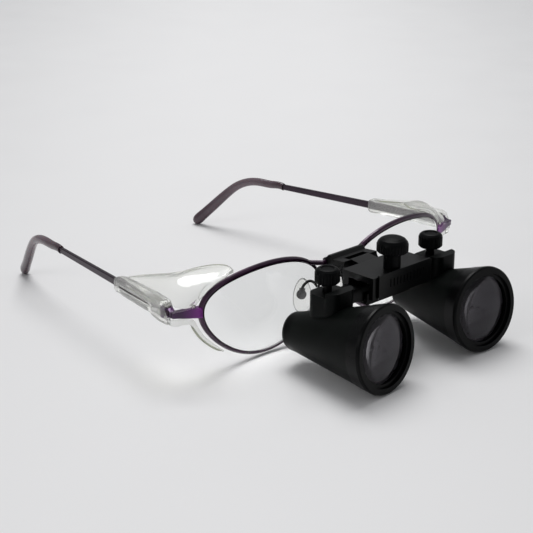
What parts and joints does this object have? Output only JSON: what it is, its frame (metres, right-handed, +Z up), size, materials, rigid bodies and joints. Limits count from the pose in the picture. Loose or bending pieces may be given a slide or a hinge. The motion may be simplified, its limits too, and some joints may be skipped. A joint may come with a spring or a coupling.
{
  "type": "dental loupes",
  "caption": "Wire spectacle frame with clear side shields, carrying flip-up magnifying barrels on a bridge clamp with pupil-distance slides and lock knobs.",
  "frame": {"origin": "centre of the footprint on the surface that the loupes stand on, midway between the front rings and the temple tips", "axes": "+Z up, -Y the way the wearer looks, so +Y runs back along the temples; +X is the wearer's left"},
  "size_m": [0.144, 0.178, 0.043],
  "materials": {
    "barrel_black": "satin black barrel cones and carriages with a slightly greenish grey sheen",
    "ring_black": "smooth satin black front and eyepiece rings",
    "knob_black": "black knurled knobs",
    "mount_black": "black anodised flip mount and clamp",
    "optical_glass": "coated optical glass",
    "spectacle_lens": "clear plano lens",
    "frame_purple": "very dark purple metallic eyewire",
    "lug_violet": "bright violet metallic end piece",
    "temple_metal": "dark purple brown metallic temple",
    "tip_mauve": "translucent mauve grey temple tip",
    "clear_plastic": "clear moulded side shield, slightly yellow green at the edges",
    "silicone": "clear silicone nose pad",
    "small_steel": "small screws, studs and pins",
    "inner_black": "dull black baffle"
  },
  "bodies": {
    "front": {"rim_right": "frame_purple", "spectacle_lens_right": "spectacle_lens", "end_piece_right": "lug_violet", "pad_arm_right": "frame_purple", "rim_left": "frame_purple", "spectacle_lens_left": "spectacle_lens", "end_piece_left": "lug_violet", "pad_arm_left": "frame_purple", "bridge_wire": "frame_purple", "temple_hinge_screws": "small_steel", "rim_screws": "small_steel", "bridge_clamp_front": "mount_black", "bridge_clamp_rear": "mount_black", "clamp_screws": "small_steel", "flip_hinge_pin": "small_steel"},
    "flip_mount": {"flip_head": "mount_black", "head_face_plate": "mount_black", "head_base_plate": "mount_black", "base_plate_screws": "small_steel", "clamp_shoe": "mount_black"},
    "centre_knob_body": {"centre_knob": "knob_black", "centre_knob_stud": "small_steel"},
    "temple_right_body": {"temple_arm_right": "temple_metal", "temple_tip_right": "tip_mauve"},
    "shield_right_body": {"side_shield_right": "clear_plastic"},
    "pad_right_body": {"pad_shoe_right": "small_steel", "nose_pad_right": "silicone"},
    "slider_right_body": {"slider_arm_right": "mount_black"},
    "barrel_right_body": {"barrel_shell_right": "barrel_black", "front_ring_right": "ring_black", "objective_lens_right": "optical_glass", "light_stop_right": "inner_black", "ocular_lens_right": "optical_glass", "eyepiece_ring_right": "ring_black", "barrel_saddle_right": "barrel_black", "pivot_post_right": "small_steel"},
    "side_knob_right_body": {"side_knob_right": "knob_black", "side_knob_stud_right": "mount_black"},
    "temple_left_body": {"temple_arm_left": "temple_metal", "temple_tip_left": "tip_mauve"},
    "shield_left_body": {"side_shield_left": "clear_plastic"},
    "pad_left_body": {"pad_shoe_left": "small_steel", "nose_pad_left": "silicone"},
    "slider_left_body": {"slider_arm_left": "mount_black"},
    "barrel_left_body": {"barrel_shell_left": "barrel_black", "front_ring_left": "ring_black", "objective_lens_left": "optical_glass", "light_stop_left": "inner_black", "ocular_lens_left": "optical_glass", "eyepiece_ring_left": "ring_black", "barrel_saddle_left": "barrel_black", "pivot_post_left": "small_steel"},
    "side_knob_left_body": {"side_knob_left": "knob_black", "side_knob_stud_left": "mount_black"}
  },
  "joints": [
    {"name": "flip_up", "type": "hinge", "parent": "front", "child": "flip_mount", "pos_m": [0, -0.0511, 0.029], "axis": [-1, 0, 0], "range_deg": [-12, 90]},
    {"name": "centre_knob_turn", "type": "hinge", "parent": "flip_mount", "child": "centre_knob_body", "pos_m": [0, -0.0656, 0.04], "axis": [0, 0, 1], "range_deg": [0, 180]},
    {"name": "temple_right_fold", "type": "hinge", "parent": "front", "child": "temple_right_body", "pos_m": [-0.07007, -0.02929, 0.02433], "axis": [0, 0, -1], "range_deg": [0, 58]},
    {"name": "shield_right_slide", "type": "slide", "parent": "temple_right_body", "child": "shield_right_body", "axis": [0.1624, 0.9867, 0], "range_m": [0, 0.005]},
    {"name": "nose_pad_right_rock", "type": "hinge", "parent": "front", "child": "pad_right_body", "pos_m": [-0.0114, -0.0329, 0.0163], "axis": [-0.587, 0.8096, 0], "range_deg": [-5, 5]},
    {"name": "pupil_slide_right", "type": "slide", "parent": "flip_mount", "child": "slider_right_body", "axis": [-1, 0, 0], "range_m": [-0.003, 0.005]},
    {"name": "barrel_right_swivel", "type": "hinge", "parent": "slider_right_body", "child": "barrel_right_body", "pos_m": [-0.0265, -0.0604, 0.026], "axis": [0, 0, 1], "range_deg": [-5, 5]},
    {"name": "side_knob_right_turn", "type": "hinge", "parent": "barrel_right_body", "child": "side_knob_right_body", "pos_m": [-0.0265, -0.0604, 0.0348], "axis": [0, 0, 1], "range_deg": [0, 180]},
    {"name": "temple_left_fold", "type": "hinge", "parent": "front", "child": "temple_left_body", "pos_m": [0.07007, -0.02929, 0.02433], "axis": [0, 0, 1], "range_deg": [0, 40]},
    {"name": "shield_left_slide", "type": "slide", "parent": "temple_left_body", "child": "shield_left_body", "axis": [-0.1624, 0.9867, 0], "range_m": [0, 0.005]},
    {"name": "nose_pad_left_rock", "type": "hinge", "parent": "front", "child": "pad_left_body", "pos_m": [0.0114, -0.0329, 0.0163], "axis": [-0.587, -0.8096, 0], "range_deg": [-5, 5]},
    {"name": "pupil_slide_left", "type": "slide", "parent": "flip_mount", "child": "slider_left_body", "axis": [1, 0, 0], "range_m": [-0.0025, 0.005]},
    {"name": "barrel_left_swivel", "type": "hinge", "parent": "slider_left_body", "child": "barrel_left_body", "pos_m": [0.0265, -0.0604, 0.026], "axis": [0, 0, -1], "range_deg": [-5, 5]},
    {"name": "side_knob_left_turn", "type": "hinge", "parent": "barrel_left_body", "child": "side_knob_left_body", "pos_m": [0.0265, -0.0604, 0.0348], "axis": [0, 0, 1], "range_deg": [0, 180]}
  ]
}
